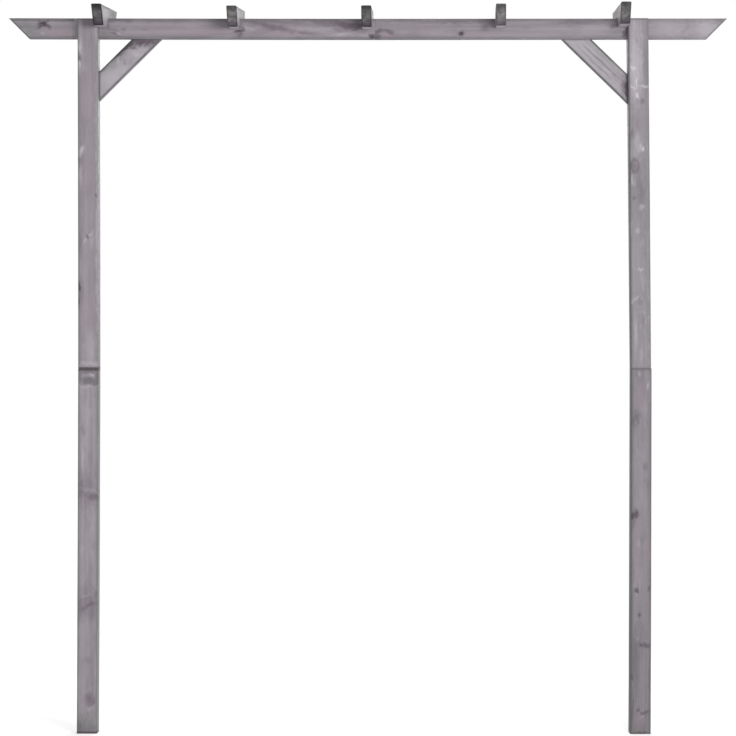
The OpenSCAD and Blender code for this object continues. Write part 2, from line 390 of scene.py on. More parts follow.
def stainedPine(name, piece):
    finish, wire, shader = newFinish(name, Specular_IOR_Level=piece.get("gloss", pine["gloss"]))
    grain = grainOf(wire, piece)
    late = lateWood(wire, piece, grain)
    pores = grain.own.cloud(*clouds["pores"]).ease(0.3, 0.75)
    normal = wire.node("ShaderNodeNewGeometry", {}, {}, "Normal")
    facing = wire.vector("DOT_PRODUCT", normal, piece["along"], output=1)
    endFace = wire.maths("ABSOLUTE", facing).ease(0.45, 0.62)

    tone, knots = withKnots(wire, grain, planedFace(wire, piece, grain, late))
    tone = withEdges(wire, piece, grain, tone)
    tone = wire.mix(endFace, tone, endGrain(wire, piece, grain, late, pores))
    if "tone" in piece:
        tone = wire.vector("MULTIPLY", tone, (piece["tone"],) * 3)
    plug(tone, shader, "Base Color")

    smooth, coarse = pine["roughness"] - 0.06, pine["roughness"] + 0.1
    rough = grain.fibre.ease(0.2, 0.8, smooth, coarse) + endFace * 0.12
    sawn = wire.maths("SINE", grain.across * pine["sawMarks"])
    height = late * 0.35 + grain.fibre * 0.5 + grain.ragged * 0.1 + (sawn * 0.12 + pores * 0.3) * endFace
    if knots:
        rough = rough - knots * 0.14
        height = height - knots * 0.5
    plug(rough, shader, "Roughness")
    bumped(wire, shader, height, 0.35, 0.5)
    return finish


# Beech dowels and zinc plated screws
beech = dict(light=tint(214, 184, 142), deep=tint(180, 146, 104), fleck=tint(140, 104, 70))
zinc = dict(bright=tint(196, 200, 203), dull=tint(150, 153, 155), roughness=0.34)


def turnedBeech():
    finish, wire, shader = newFinish("turnedBeech")
    place = wire.node("ShaderNodeTexCoord", {}, {}, "Object")
    grain = place.cloud((320, 320, 9), 3, 0.6)
    flecks = place.cloud((1500, 500, 120), 2).ease(0.62, 0.7, 0.0, 0.7)
    tone = wire.mix(grain.ease(0.3, 0.7), beech["deep"], beech["light"])
    plug(wire.mix(flecks, tone, beech["fleck"]), shader, "Base Color")
    plug(grain.ease(0.2, 0.8, 0.5, 0.66), shader, "Roughness")
    bumped(wire, shader, grain, 0.3, 0.2)
    return finish


def zincPlate():
    finish, wire, shader = newFinish("zincPlate", Metallic=1.0)
    place = wire.node("ShaderNodeTexCoord", {}, {}, "Object")
    spangle = place.cloud((700, 700, 700), 3, 0.6)
    wear = place.cloud((90, 90, 90), 2)
    plug(wire.mix(spangle.ease(0.3, 0.7), zinc["dull"], zinc["bright"]), shader, "Base Color")
    plug(wear.ease(0.3, 0.7, zinc["roughness"] - 0.08, zinc["roughness"] + 0.12), shader, "Roughness")
    bumped(wire, shader, spangle, 0.2, 0.1)
    return finish


# Meshes
def newMesh(name, points, faces):
    mesh = bpy.data.meshes.new(name)
    mesh.from_pydata([tuple(p) for p in points], [], faces)
    mesh.validate()
    mesh.update()
    made = bpy.data.objects.new(name, mesh)
    bpy.context.scene.collection.objects.link(made)
    return made


def discard(thing):
    spent = thing.data
    bpy.data.objects.remove(thing)
    bpy.data.meshes.remove(spent)


def pairs(sides):  # neighbours on a ring
    return [(i, (i + 1) % sides) for i in range(sides)]


def tubeFaces(count, sides):  # quads between rings of points
    starts = range(0, (count - 1) * sides, sides)
    return [(k + i, k + j, k + sides + j, k + sides + i) for k in starts for i, j in pairs(sides)]


def turned(name, rings, sides, radius=None):  # a closed round shape from rings of (radius, height)
    points = []
    for r, z in rings:
        for i in range(sides):
            a = 2 * math.pi * i / sides
            out = radius(r, z, a) if radius else r
            points.append((out * math.cos(a), out * math.sin(a), z))
    faces = tubeFaces(len(rings), sides)
    for k, order in ((0, -1), (len(rings) - 1, 1)):
        points.append((0, 0, rings[k][1]))
        middle = len(points) - 1
        for i, j in pairs(sides):
            faces.append((middle,) + (k * sides + i, k * sides + j)[::order])
    if rings[0][1] > rings[-1][1]:
        faces = [f[::-1] for f in faces]
    return newMesh(name, points, faces)


def block(name, low, high):
    points = [(x, y, z) for x in (low[0], high[0]) for y in (low[1], high[1]) for z in (low[2], high[2])]
    faces = [(0, 1, 3, 2), (4, 6, 7, 5), (0, 4, 5, 1), (2, 3, 7, 6), (0, 2, 6, 4), (1, 5, 7, 3)]
    return newMesh(name, points, faces)


def cutAway(body, cutters):  # each cutter is used up
    for cutter in cutters:
        cut = body.modifiers.new("cut", "BOOLEAN")
        cut.operation = "DIFFERENCE"
        cut.solver = "EXACT"
        cut.object = cutter
        done = bpy.data.meshes.new_from_object(body.evaluated_get(bpy.context.evaluated_depsgraph_get()))
        body.modifiers.clear()
        old = body.data
        body.data = done
        done.name = old.name
        bpy.data.meshes.remove(old)
        discard(cutter)


def aim(head, way):  # turns a fastener drawn head up, running down, to its place in millimetres
    spin = Vector((0, 0, -1)).rotation_difference(Vector(way)).to_matrix().to_4x4()
    return Matrix.Translation(Vector(head) * mm) @ spin


# Fasteners: their sizes, and where each head is and which way it points
fasteners = dict(
    beamScrew=dict(thick=5, head=10, long=50, pitch=3.0, plain=16),
    braceScrew=dict(thick=5, head=10, long=60, pitch=3.0, plain=22),
    rafterScrew=dict(thick=5, head=10, long=60, pitch=3.0, plain=26),
    spliceScrew=dict(thick=4, head=8, long=25, pitch=2.4, plain=5),
    rim=0.5,
    core=0.68,
    tip=7,
    sides=20,
    play=0.1,
    spare=0.5,
    open=2,
    pocket=176,
    holeSides=32,
    recess=(0.27, 0.2, 1.2),  # the cross: half its length and its depth per head, and its width
)
forward, down, up = (0, -1, 0), (0, 0, -1), (0, 0, 1)
screwSets = {
    "leftBeamScrews": (
        "left_beam_screws", "beamScrew", [((-795, 13.6, 1954.5), forward), ((-771, 13.6, 1978.5), forward)],
    ),
    "rightBeamScrews": (
        "right_beam_screws", "beamScrew", [((769, 13.6, 1954.5), forward), ((745, 13.6, 1978.5), forward)],
    ),
    "leftBraceScrews": (
        "left_brace_screws", "braceScrew", [((-729.5, 0, 1802.305), (-1, 0, 0)), ((-618.805, 0, 1913), up)],
    ),
    "rightBraceScrews": (
        "right_brace_screws", "braceScrew", [((703.5, 0, 1802.305), (1, 0, 0)), ((592.805, 0, 1913), up)],
    ),
    "rafterScrews": (
        "rafter_screws", "rafterScrew",
        [
            ((-738.6, 0, 2026.9), down), ((-370, 0, 2024.8), down), ((-7.8, -7, 2022.5), down),
            ((4.2, 7, 2022.7), down), ((369.5, 0, 2024.9), down), ((709.2, 0, 2027.3), down),
        ],
    ),
    "spliceScrews": (
        "splice_screws", "spliceScrew", [((-10, 13.6, 1952), forward), ((10, 13.6, 1952), forward)],
    ),
}


def screwHole(kind, head, way):
    size = fasteners[kind]
    r = (size["thick"] + fasteners["play"]) / 2 * mm
    rh = (size["head"] + fasteners["play"]) / 2 * mm
    top = (fasteners["pocket"] if kind == "braceScrew" else fasteners["open"]) * mm
    neck = (fasteners["rim"] + (size["head"] - size["thick"]) / 2) * mm
    bottom = (size["long"] + fasteners["spare"]) * mm
    rings = [(rh, top), (rh, -fasteners["rim"] * mm), (r, -neck), (r, -bottom)]
    hole = turned("hole", rings, fasteners["holeSides"])
    hole.data.transform(aim(head, way))
    return hole


def screwModel(kind):
    size = fasteners[kind]
    r, rh = size["thick"] / 2, size["head"] / 2
    neck = fasteners["rim"] + rh - r
    core = r * fasteners["core"]
    head = [(rh * 0.97, 0), (rh, -0.12), (rh, -fasteners["rim"]), (r * 1.12, -neck + 0.25)]
    plain = [(r * 0.94, -neck - 0.4), (r * 0.86, -neck - 1.5), (r * 0.86, -size["plain"])]
    step = size["pitch"] / 6
    rows = int((size["long"] - size["plain"] - 0.6) / step)
    threads = [(core, -size["plain"] - 0.6 - k * step) for k in range(rows)]

    def threaded(radius, height, angle):
        if height > -(size["plain"] + 0.3) * mm:
            return radius
        left = size["long"] * mm + height  # to the tip
        taper = min(1.0, max(0.04, left / (fasteners["tip"] * mm)) ** 0.75)
        turn = (height / (size["pitch"] * mm) + angle / 2 / math.pi) % 1
        ridge = max(0.0, 1 - abs(turn - 0.5) / 0.24)
        return taper * (radius + (r * mm - radius) * ridge)

    profile = head + plain + threads + [(0.2, -size["long"] + 0.15)]
    body = turned(kind, [(a * mm, z * mm) for a, z in profile], fasteners["sides"], threaded)
    arm, deep, wide = fasteners["recess"]
    arm, deep = arm * size["head"] * mm, deep * size["head"] * mm
    for spin in (0, math.pi / 2):  # cross recess, narrower at its bottom
        bar = block("bar", (-arm, -wide / 2 * mm, -deep), (arm, wide / 2 * mm, 1 * mm))
        for v in bar.data.vertices:
            if v.co.z < 0:
                v.co.x *= 0.45
                v.co.y *= 0.7
        bar.data.transform(Matrix.Rotation(spin, 4, "Z"))
        cutAway(body, [bar])
    return body


def stamped(name, model, places):  # one mesh of several copies
    points, faces = [], []
    for place in places:
        first = len(points)
        points += [place @ v.co for v in model.data.vertices]
        faces += [tuple(first + i for i in p.vertices) for p in model.data.polygons]
    discard(model)
    return newMesh(name, points, faces)


def settle(piece, finish, node, angle=40):
    piece.data.shade_smooth()
    piece.data.set_sharp_from_angle(angle=math.radians(angle))
    piece.data.materials.clear()
    piece.data.materials.append(finish)
    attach(piece, "root")
    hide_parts(node)


# Timbers, in millimetres. Each has its own measures: along the grain, across its wider face, and
# depth into it. cuts: how far an end leans per millimetre across. pith: where the heart of the tree
# lay. notch: the block cut out, from the origin's x. face: the depth of the face that the marks lie on.
# A mark: its place along and across, half sizes along and across, strength in percent, turn in degrees.
timber = dict(
    arris=3.2,
    arrisWaves=((0.35, 83), (0.2, 29)),  # how much, and over which length
    dentEvery=260,
    dentReach=(5, 12),
    dentDeep=(0.4, 1.3),
    soften=0.7,  # the saw's edges, rubbed off
    step=6.5,
    capStep=3.5,
    arcSteps=5,
    leanReach=92,
    waves=0.12,
    waveReach=(70, 24),  # along the grain and across it
    knotDepth=12,
    knotRise=0.3,
    knotDip=0.35,
    pivot=43,  # a rafter turns about the post's front edge
    lapFace=0.04,  # where the splice's two laps meet, a hair behind the middle
)
slant = math.sqrt(0.5)
upright = dict(
    along=(0, 0, 1), across=(1, 0, 0), depth=(0, 1, 0), section=(57, 57), cuts=(0, 0), face=-28,
    edges=0.15, rim=(6.5, 1.8), soak=(0.3, 0.5),
)
lengthwise = dict(
    along=(1, 0, 0), across=(0, 0, 1), depth=(0, 1, 0), section=(58.1, 28), face=-14,
    edges=0.55, rim=(11, 5.5),
)
crosswise = dict(
    along=(0, 1, 0), across=(0, 0, 1), depth=(1, 0, 0), section=(57, 28), cuts=(-1, 1), face=14,
    # the pale lower faces of the rafters are painted light, as if lit from below
    ends=(-171.5, 171.5), edges=0.9, rim=(10, 4.5), soak=(0.5, 0.5), under=0.7, endShade=0.85, gloss=0.06,
    lowerEdges=0.15, notch=((-30, -14.15, 1950), (30, 14.15, 1995)),
)
leftSlope = dict(
    along=(slant, 0, slant), across=(-slant, 0, slant), depth=(0, 1, 0), section=(57, 28), cuts=(1, -1),
    face=-14, edges=1.0, rim=(8, 2.8), soak=(0.8, 0.8), paler=0.5,
)
rightSlope = dict(leftSlope, along=(-slant, 0, slant), across=(slant, 0, slant))
timbers = {}
timbers["leftLowerPost"] = dict(
    upright, node="left_lower_post", seed=1, origin=(-783, -14.5, 0), ends=(0, 1020), pith=(34, 46),
    bow=(0.35, -0.6), sway=(-1.8, 3.5), seams=((0.85, 3, 9), (0.9, 4.5, 8.5)), weather=0.75, edges=0.45,
    tone=1.13,
    dark=[
        (1010, 0, 9, 60, 60), (1006, -24, 22, 12, 50), (985, -2, 12, 60, 55, 4), (984, 4, 9, 15, 50, 10),
        (996, 27, 26, 8, 70), (978, 20, 9, 14, 60, -10), (845, -12, 15, 8, 35), (357, 2, 42, 13, 70, 68),
        (352, -22, 46, 14, 55), (388, 22, 18, 8, 45), (662, 16, 38, 15, 70, 100), (688, -18, 46, 15, 55),
        (676, 0, 60, 40, 34), (206, 0, 12, 14, 25), (96, 8, 22, 20, 60, 20), (362, 0, 58, 40, 36),
        (8, -22, 36, 20, 55), (10, 4, 22, 40, 30), (345, -27, 50, 6, 50),
    ],
    grey=[(14, -10, 70, 40, 70, 24), (6, 0, 46, 60, 70), (984, 0, 15, 70, 80)],
    pale=[
        (1000, 10, 8, 9, 50), (971, 0, 5, 30, 35), (770, -15, 52, 4.5, 35), (682, 4, 34, 6, 22, 108),
        (384, -8, 26, 5, 20, 60), (70, 8, 22, 6, 25, 50), (840, -6, 120, 5, 25), (560, 10, 90, 8, 20),
    ],
)
timbers["rightLowerPost"] = dict(
    upright, node="right_lower_post", seed=2, origin=(757, -14.5, 0), ends=(0, 1020), pith=(-41, 30),
    bow=(0.4, 0.5), sway=(1.8, 3.9), twist=(2.7, 1.5), shadyEdge=0.7, edges=0.5, tone=0.8, flecks=0.15,
    weather=0.45, section=(57.5, 57),
    dark=[
        (884, -12, 24, 14, 50), (745, 12, 14, 10, 35), (408, 24, 11, 7, 80), (612, -23, 17, 8, 100),
        (616, -13, 15, 10, 60), (249, 14, 9, 20, 70), (248, 3, 7, 6, 80), (157, -25, 14, 6, 70),
        (66, -6, 8, 6, 70), (60, 13, 8, 15, 70), (213, -18, 110, 13, 30), (170, 26, 90, 5, 40),
        (398, -10, 7, 10, 50), (330, -4, 9, 5, 50), (600, -20, 26, 8, 35), (3, 0, 5, 34, 60),
        (70, -24, 60, 6, 50), (877, -23, 24, 8, 40),
    ],
    grey=[(205, -17, 120, 15, 60), (872, -20, 34, 12, 60), (10, 0, 30, 50, 30)],
    pale=[
        (971, 18, 10, 3.5, 80), (1004, -6, 7, 6, 50), (530, -8, 15, 8, 35), (262, -9, 12, 3, 35, 20),
        (48, 4, 22, 3, 35, 45), (388, -12, 9, 4, 35),
    ],
    pink=[(32, -4, 30, 22, 60), (940, -4, 60, 14, 40)],
    ink=[(612, -25, 13, 5, 60)],
    white=[(971, 18, 8, 2.5, 25)],
    knot=[(612, -13, 9, 6, 55), (402, -12, 8, 6, 50), (334, -4, 5, 4, 35)],
)
timbers["leftUpperPost"] = dict(
    upright, node="left_upper_post", seed=3, origin=(-783, -14.5, 0), ends=(1020, 1995), pith=(-30, 52),
    notch=((-40, -14, 1938), (40, 20, 2010)),
    bow=(0.4, 0.4), sway=(3.5, 3.1), seams=((0.9, 1.5, 5), None), weather=0.75, shadyEdge=0.3, tone=1.08,
    # (1978, 4) is rafter one's painted shadow on the post's top
    dark=[
        (1888, -24, 16, 8, 80), (1501, 23, 9, 6, 100), (1600, -25, 20, 5, 50), (1230, -20, 40, 12, 30),
        (1978, 4, 18, 34, 25), (1370, -22, 40, 6, 30),
    ],
    pale=[
        (1915, -21, 34, 7, 60), (1860, -22, 24, 6, 60), (1626, -17, 17, 8, 70, 10), (1392, 6, 20, 4, 50, 30),
        (1376, -8, 12, 4, 50, 40), (1380, 10, 26, 8, 30), (1075, 5, 56, 20, 30), (1030, 20, 9, 12, 40),
        (1560, -22, 40, 7, 40), (1950, 24, 60, 4, 35), (1032, 0, 9, 36, 40), (1500, 26, 520, 6, 40),
    ],
    pink=[
        (1815, 5, 60, 5, 60), (1772, -10, 60, 10, 60), (1320, -3, 20, 5, 60), (1560, 0, 90, 16, 35),
        (1180, -8, 60, 10, 35),
    ],
    ink=[(1246, -26, 15, 7, 100), (1210, -28, 26, 5, 80), (1386, -2, 4, 3, 40)],
    white=[
        (1628, -18, 9, 5, 25, 10), (1396, 8, 12, 2.5, 15, 32), (1868, -21, 9, 4, 30, -20),
        (1912, -23, 8, 4, 15, 20),
    ],
    knot=[(1386, -1, 5, 4, 40)],
)
timbers["rightUpperPost"] = dict(
    upright, node="right_upper_post", seed=4, origin=(757, -14.5, 0), ends=(1020, 1995), pith=(38, 44),
    notch=((-40, -14, 1938), (40, 20, 2010)),
    bow=(0.5, -0.4), sway=(3.2, -6.4), twist=(0.2, 2.5), shadyEdge=0.8, tone=0.92, flecks=0.42, weather=0.45,
    dark=[
        (1765, 9, 12, 7, 60), (1672, -20, 18, 11, 55), (1512, 6, 60, 14, 35), (1497, -14, 8, 10, 50),
        (1395, -23, 30, 5, 40), (1208, -2, 10, 8, 35), (1155, 8, 14, 5, 25), (1582, -17, 18, 13, 45),
    ],
    grey=[(1560, 4, 300, 50, 42), (1200, 0, 240, 50, 30), (1872, 21, 76, 14, 60), (1690, 4, 36, 10, 30, 35)],
    pale=[
        (1860, -8, 130, 24, 80), (1804, 13, 5, 24, 70), (1803, -15, 7, 10, 90), (1857, -15, 5, 10, 100),
        (1816, -5, 14, 5, 100, 15), (1779, -5, 14, 5, 100, -20), (1900, -16, 60, 12, 70),
        (1960, -6, 60, 22, 50), (1630, 10, 10, 5, 100), (1640, -4, 50, 16, 50), (1300, -8, 200, 20, 20),
        (1634, 5, 20, 6, 60), (1543, -22, 16, 7, 70), (1468, 2, 11, 9, 40), (1405, -4, 16, 8, 40, 20),
        (1405, -24, 30, 5, 60), (1297, -1, 5, 17, 60), (1216, -11, 14, 6, 60, 40), (1206, -22, 8, 6, 50),
        (1120, -14, 70, 7, 50),
    ],
    pink=[(1596, -10, 12, 8, 50), (1494, -8, 22, 10, 50)],
    ink=[(1560, -28, 46, 3, 60)],
    white=[
        (1857, -15, 5, 9, 80), (1816, -5, 13, 4, 90, 15), (1779, -5, 13, 4, 90, -20), (1803, -15, 6, 9, 40),
        (1804, 15, 4, 20, 30), (1630, 10, 8, 3.5, 40, 10), (1632, 2, 14, 5, 20, 20), (1472, 8, 6, 8, 30, 30),
        (1298, 0, 3.5, 18, 15), (1404, -6, 12, 5, 15, 25),
    ],
    swirl=[(1584, -13, 20, 12, 50)],
)
timbers["beamLeft"] = dict(
    lengthwise, node="beam_left", seed=5, origin=(0, 0, 1966.5), ends=(-974.5, 19.85), cuts=(-1, 0),
    notch=((-20.15, timber["lapFace"], 1930), (40, 30, 2010)),
    # the pale band beside the left post is painted light that lifts the post's cast shadow
    soak=(1.0, 0.1), tone=1.02, pith=(-26, 48), bow=(-0.2, 0.3), sway=(1.9, -0.3), bands=((-815, 7, 0.55),),
    # (-357, -4), (-358, -18) and (-352, 8) under rafter two; (-706, -14) and (-720, -2) below rafter one
    # painted shadows among these: (-72, 13), (-32, 6), (-130, 20) and (-250, 20) left of rafter three;
    dark=[
        (-906, 15, 11, 10, 100), (-915, 8, 15, 7, 90, 34), (-896, 8, 15, 7, 85, -34),
        (-917, 21, 13, 6, 80, -30), (-896, 21, 13, 6, 80, 30), (-740, 24, 90, 7, 35),
        (-706, -14, 18, 4, 50, -25), (-672, 22, 24, 7, 50), (-120, 14, 44, 12, 50), (-683, -3, 8, 4, 50),
        (-624, -3, 7, 3, 35), (12, -20, 14, 10, 100), (-560, 20, 110, 7, 25), (-235, 3, 70, 6, 40, -11),
        (-860, 22, 120, 5, 40), (-72, 13, 86, 14, 85, -12), (-32, 6, 22, 17, 85),
        (-130, 20, 100, 10, 60, -6), (-250, 20, 140, 9, 40, -3), (-270, 7, 90, 11, 70, -13),
        (-180, -9, 60, 7, 50, -8), (-357, -4, 11, 6, 90, 15), (-358, -18, 11, 9, 70), (-352, 8, 7, 12, 50),
        (-720, -2, 40, 3, 35, -12), (-84, -1, 20, 7, 45, -12),
    ],
    grey=[(-945, 2, 34, 22, 60, -20), (-728, -14, 30, 12, 60)],
    pale=[
        (-906, -13, 10, 6, 45), (-697, -11, 8, 4, 40), (-65, -13, 40, 6, 40, 8), (-335, 4, 30, 6, 35, -20),
    ],
    pink=[
        (-859, -11, 36, 10, 80), (-458, -10, 105, 6, 80, 2), (-217, -12, 100, 7, 70),
        (-700, -13, 30, 6, 40, 20), (-560, -14, 60, 7, 40),
    ],
    # (-358, -5) is a painted shadow under rafter two
    ink=[(-906, 15, 10, 9, 70), (12, -23, 9, 5, 70), (-914, 8, 11, 4, 40, 34), (-358, -5, 16, 6.5, 70, 10)],
    knot=[(-905, 14, 6, 5, 85)],
)
timbers["beamRight"] = dict(
    lengthwise, node="beam_right", seed=6, origin=(0, 0, 1966.5), ends=(-19.85, 972.5), cuts=(0, 1),
    notch=((-40, -30, 1930), (20.15, timber["lapFace"], 2010)),
    soak=(0.1, 0.7), edgesLast=0.35, tone=0.95, pith=(22, 55), bow=(0, -0.3), sway=(-0.3, 0.3),
    # painted shadows among these: (250, 21) and (600, 20) along the top left of rafters four and five; (683,
    # 8) of rafter five; (719, -12) of the right post
    dark=[
        (25, -22, 12, 9, 100), (30, -4, 13, 9, 50, 30), (60, -4, 14, 6, 35, -10), (885, 0, 9, 26, 35, -30),
        (250, 21, 120, 9, 50), (325, 4, 12, 16, 40), (600, 20, 100, 12, 50), (90, 24, 60, 5, 30),
        (719, -12, 9, 20, 90), (683, 8, 13, 9, 65),
    ],
    grey=[(690, -7, 36, 12, 60)],
    pale=[(945, 2, 50, 34, 62), (620, 2, 90, 18, 20), (850, 0, 120, 34, 30)],
    pink=[(50, -18, 18, 8, 70), (150, -9, 70, 7, 35), (312, -14, 56, 6, 75), (470, -12, 90, 7, 35)],
    knot=[(260, -12.5, 6.5, 6, 100)],
    arch=[(43, -17, 26, 16, 60)],
)
timbers["rafterOne"] = dict(
    crosswise, node="rafter_1", seed=7, origin=(-738.6, 0, 1998.8), pith=(-20, 40), bow=(0, 0.3), nose=0.4,
    skew=1.0, endShade=0.95,
    dark=[(120, 4, 130, 44, 90), (60, 10, 46, 12, 45), (20, 27, 240, 7, 80)],
    grey=[(80, 6, 110, 34, 90)],
    pale=[(-100, -4, 80, 30, 50), (-90, -22, 60, 9, 70)],
)
timbers["rafterTwo"] = dict(
    crosswise, node="rafter_2", seed=8, origin=(-370, 0, 1996.7), pith=(24, -34), bow=(0, -0.3), nose=1.4,
    skew=0.25, endShade=0.6, endTone=1.55,
    dark=[(130, 10, 80, 30, 35), (20, 27, 240, 6, 60)],
    grey=[(90, 4, 100, 34, 80)],
    pale=[(-110, -6, 70, 26, 60)],
)
timbers["rafterThree"] = dict(
    crosswise, node="rafter_3", seed=9, origin=(-1.8, 0, 1994.5), pith=(-40, -22), bow=(0, 0.2), nose=0.7,
    skew=-0.3, endShade=0.8, endTone=1.13,
)
timbers["rafterFour"] = dict(
    crosswise, node="rafter_4", seed=10, origin=(369.5, 0, 1996.8), pith=(-8, 30), bow=(0, -0.2), skew=0.35,
    endShade=0.5, endTone=1.6,
)
timbers["rafterFive"] = dict(
    crosswise, node="rafter_5", seed=11, origin=(709.2, 0, 1999.2), pith=(32, 26), bow=(0, 0.3), nose=-0.9,
    skew=-0.9, endShade=0.6, endTone=1.3, face=-14,
    dark=[(60, 4, 190, 40, 80), (0, 26, 240, 7, 90)],
)
timbers["leftBrace"] = dict(
    leftSlope, node="left_brace", seed=12, origin=(-752.5, 0, 1802.305), pith=(18, 40), bow=(0, 0.2),
    section=(58.9, 28), ends=(3.5, 191.4), sway=(2.0, 1.0),
    dark=[
        (184, 0, 62, 20, 100, -45), (160, 14, 34, 14, 70, -20), (146, 27, 60, 8, 100),
        (147, 9, 16, 6, 80, -45), (150, 29, 50, 6, 100), (58, 22, 70, 4, 35), (104, -4, 12, 5, 35, 30),
    ],
    grey=[(96, 14, 60, 16, 55), (118, -14, 22, 12, 35, 30)],
    pale=[
        (142, -12, 7, 16, 60, 30), (90, 10, 12, 5, 60, 40), (46, -8, 44, 22, 50), (84, -16, 12, 6, 50, 20),
    ],
    ink=[(136, 27, 52, 11, 100), (165, 20, 20, 9, 55, -45)],
)
timbers["rightBrace"] = dict(
    rightSlope, node="right_brace", seed=13, origin=(723.7, 0, 1802.305), pith=(-22, 44), bow=(0, -0.2),
    section=(59, 28), ends=(-3.1, 196.8), sway=(-2.1, -5.6), soak=(0.8, 0.45), paler=0.4, flecks=0.6,
    dark=[(10, -2, 36, 11, 65, 45), (80, 3, 90, 3, 45), (110, -12, 80, 2.5, 35)],
    grey=[(18, 16, 18, 9, 50, 45), (90, 6, 120, 26, 45)],
    pale=[(150, 8, 50, 4, 50), (140, -3, 56, 4, 45), (100, 10, 50, 4, 40), (80, -6, 36, 6, 35)],
    ink=[(-1, -3, 34, 6, 80, 45)],
)


def crossSections(size, radii, inset):  # rounded rectangles, one for each station
    halfAcross = size[0] / 2 - inset
    halfDepth = size[1] / 2 - inset
    radii = np.maximum(radii - inset[:, None], 0.4)
    steps = timber["arcSteps"]
    corners = [(1, 1, 0), (-1, 1, 90), (-1, -1, 180), (1, -1, 270)]
    arcs = []
    for c, (sx, sy, start) in enumerate(corners):
        for k in range(steps + 1):
            a = math.radians(start + 90 * k / steps)
            x = sx * (halfAcross - radii[:, c]) + radii[:, c] * math.cos(a)
            y = sy * (halfDepth - radii[:, c]) + radii[:, c] * math.sin(a)
            arcs.append(np.stack([x, y], 1))
    columns = []
    for c in range(4):
        columns += arcs[c * (steps + 1):(c + 1) * (steps + 1)]
        here, there = columns[-1], arcs[(c + 1) % 4 * (steps + 1)]
        splits = max(2, round(size[c % 2] / timber["step"]))
        columns += [here + (there - here) * k / splits for k in range(1, splits)]
    return np.stack(columns, 1)


def turnedBy(across, depth, spin):
    return across * np.cos(spin) - depth * np.sin(spin), across * np.sin(spin) + depth * np.cos(spin)


def layAskew(own, piece, way):  # puts a timber's bow, sway and small turns in, or takes them out again
    first, last = piece["ends"]
    nose, skew = (math.radians(piece.get(key, 0)) for key in ("nose", "skew"))
    turn = np.array([[math.cos(nose), math.sin(nose)], [-math.sin(nose), math.cos(nose)]])
    if way < 0:
        own[:, 2] -= (own[:, 0] + timber["pivot"]) * math.tan(skew)
        own[:, :2] = own[:, :2] @ turn.T
    share = np.clip((own[:, 0] - first) / (last - first), 0, 1)
    twist = piece.get("twist", (0, 0))
    spin = np.radians(twist[0] * (1 - share) + twist[1] * share)
    if way > 0:
        own[:, 1], own[:, 2] = turnedBy(own[:, 1], own[:, 2], spin)
    bow = np.sin(math.pi * share)
    sway = piece.get("sway", (0, 0))
    own[:, 1] += way * (piece["bow"][0] * bow + sway[0] * (1 - share) + sway[1] * share)
    own[:, 2] += way * piece["bow"][1] * bow
    if way < 0:
        own[:, 1], own[:, 2] = turnedBy(own[:, 1], own[:, 2], -spin)
    if way > 0:
        own[:, :2] = own[:, :2] @ turn
        own[:, 2] += (own[:, 0] + timber["pivot"]) * math.tan(skew)


def stationsOf(first, last):  # evenly along the grain, closer where the ends are rubbed off
    soft = timber["soften"]
    count = round((last - first - 2 * soft) / timber["step"])
    rub = [0, 0.12 * soft, 0.4 * soft, soft]
    even = list(np.linspace(first + soft, last - soft, count + 1)[1:-1])
    return np.array([first + r for r in rub] + even + [last - r for r in reversed(rub)])


def edgeRadii(piece, stations):  # the planed edges vary, with a few small dents
    first, last = piece["ends"]
    draw = np.random.default_rng(piece["seed"] * 101)
    radii = np.full((len(stations), 4), timber["arris"])
    for c in range(4):
        phases = draw.uniform(0, 2 * math.pi, 2)
        waves = zip(timber["arrisWaves"], phases)
        radii[:, c] += sum(much * np.sin(stations / length + phase) for (much, length), phase in waves)
        for dent in range(max(1, round((last - first) / timber["dentEvery"]))):
            middle, reach = draw.uniform(first, last), draw.uniform(*timber["dentReach"])
            deep = draw.uniform(*timber["dentDeep"])
            radii[:, c] += deep * np.exp(-((stations - middle) / reach) ** 2)
    return radii


def closedSkin(points, rings):  # points and faces over the stations, with ends of shrinking rings
    count, sides = points.shape[:2]
    faces = tubeFaces(count, sides)
    rows = [points.reshape(-1, 3)]
    total = len(rows[0])
    for k, turnOver in ((0, True), (count - 1, False)):
        outer = list(range(k * sides, (k + 1) * sides))
        for r in range(1, rings):
            ring = points[k].copy()
            ring[:, 1:] *= 1 - r / rings
            rows.append(ring)
            inner = list(range(total, total + sides))
            total += sides
            for i, j in pairs(sides):
                quad = (outer[i], outer[j], inner[j], inner[i])
                faces.append(quad[::-1] if turnOver else quad)
            outer = inner
        rows.append(np.array([[points[k, 0, 0], 0, 0]]))
        for i, j in pairs(sides):
            tri = (outer[i], outer[j], total)
            faces.append(tri[::-1] if turnOver else tri)
        total += 1
    return np.concatenate(rows), faces


def makeUneven(own, piece):  # slow waves of the planed faces, and the swelling round knots
    size = piece["section"]
    knots = marksOf(piece, "knot")
    waveLong, waveWide = timber["waveReach"]
    for p in own:
        at = (p[0] / waveLong + piece["seed"] * 9.1, p[1] / waveWide, p[2] / waveWide)
        lift = timber["waves"] * noise.noise(Vector(at))
        for m in knots:
            away = p - (m.along, m.across, m.depth)
            near = math.sqrt(sum((away / (m.reachAlong, m.reachAcross, timber["knotDepth"])) ** 2))
            rise = timber["knotRise"] * m.strength * math.exp(-(near - 1.5) ** 2)
            lift += rise - timber["knotDip"] * m.strength * math.exp(-near ** 2 * 1.5)
        side = abs(p[1:]) / size
        if side.max() > 0.4:
            k = 1 + int(side.argmax())
            p[k] += math.copysign(lift, p[k])


def basisOf(piece):
    return np.array([piece["along"], piece["across"], piece["depth"]], float)


